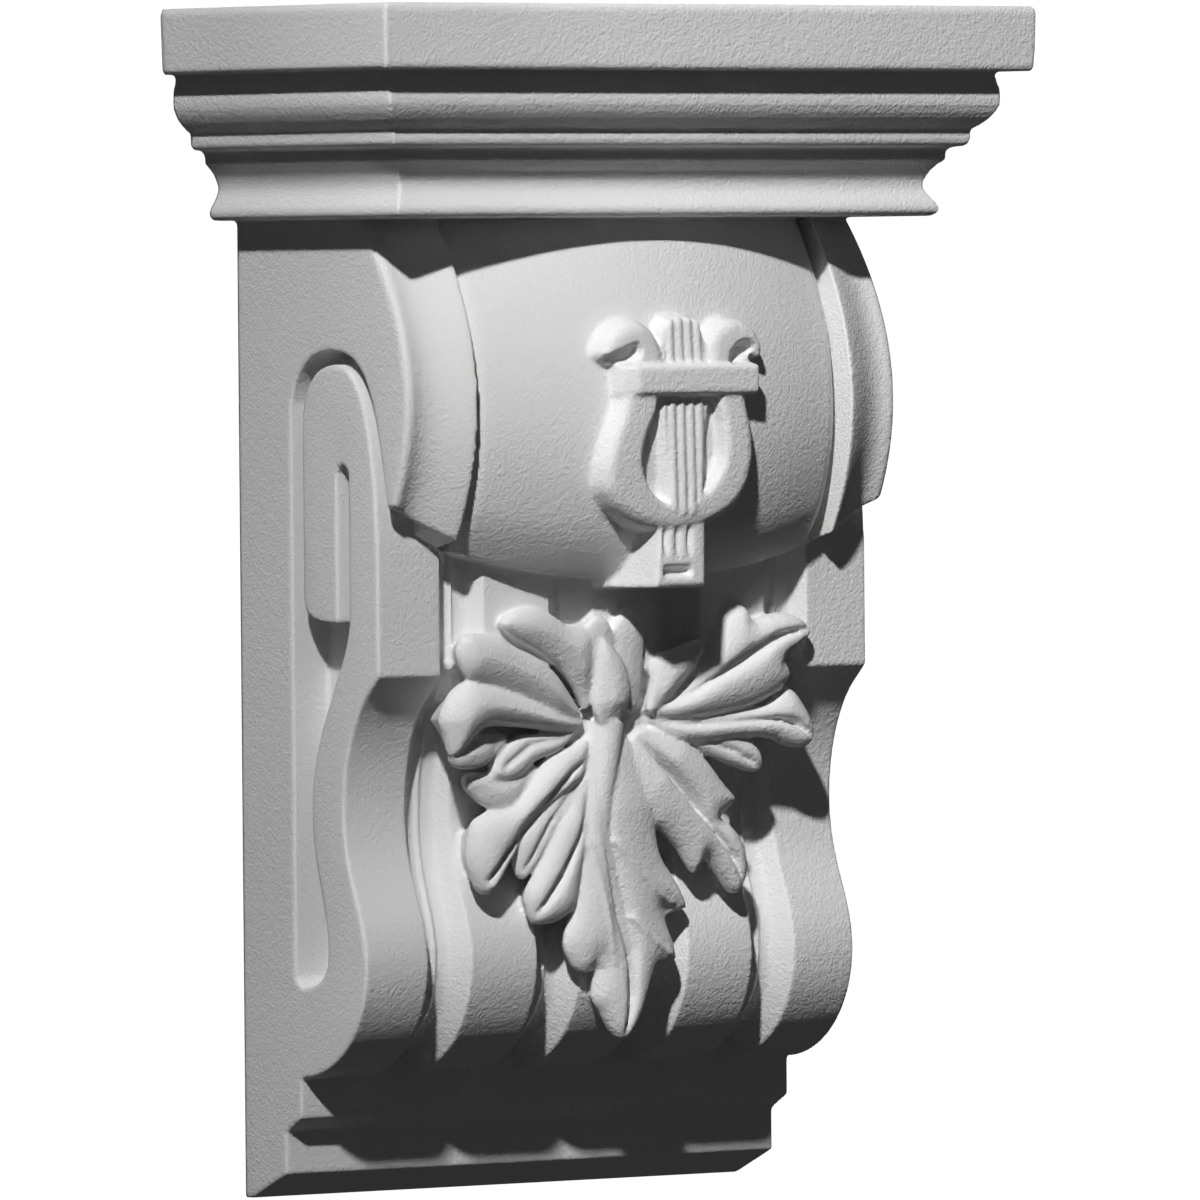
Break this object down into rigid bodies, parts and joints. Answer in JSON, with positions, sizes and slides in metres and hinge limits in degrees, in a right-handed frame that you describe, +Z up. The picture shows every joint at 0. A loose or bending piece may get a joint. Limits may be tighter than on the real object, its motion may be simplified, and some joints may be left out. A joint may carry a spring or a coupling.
{
  "type": "corbel",
  "caption": "Wall corbel with a moulded cap over a barrel-shaped scroll carrying a lyre in relief, fluted S-curved front, hanging leaf and a stepped foot.",
  "frame": {"origin": "centre of the flat back face that meets the wall", "axes": "+Z up, -Y out from the wall into the room, +X to the viewer's right"},
  "size_m": [0.181, 0.0794, 0.254],
  "materials": {
    "primed_casting": "matt factory primer with a fine orange-peel texture, off-white"
  },
  "bodies": {
    "root": {"corbel": "primed_casting"}
  },
  "joints": []
}
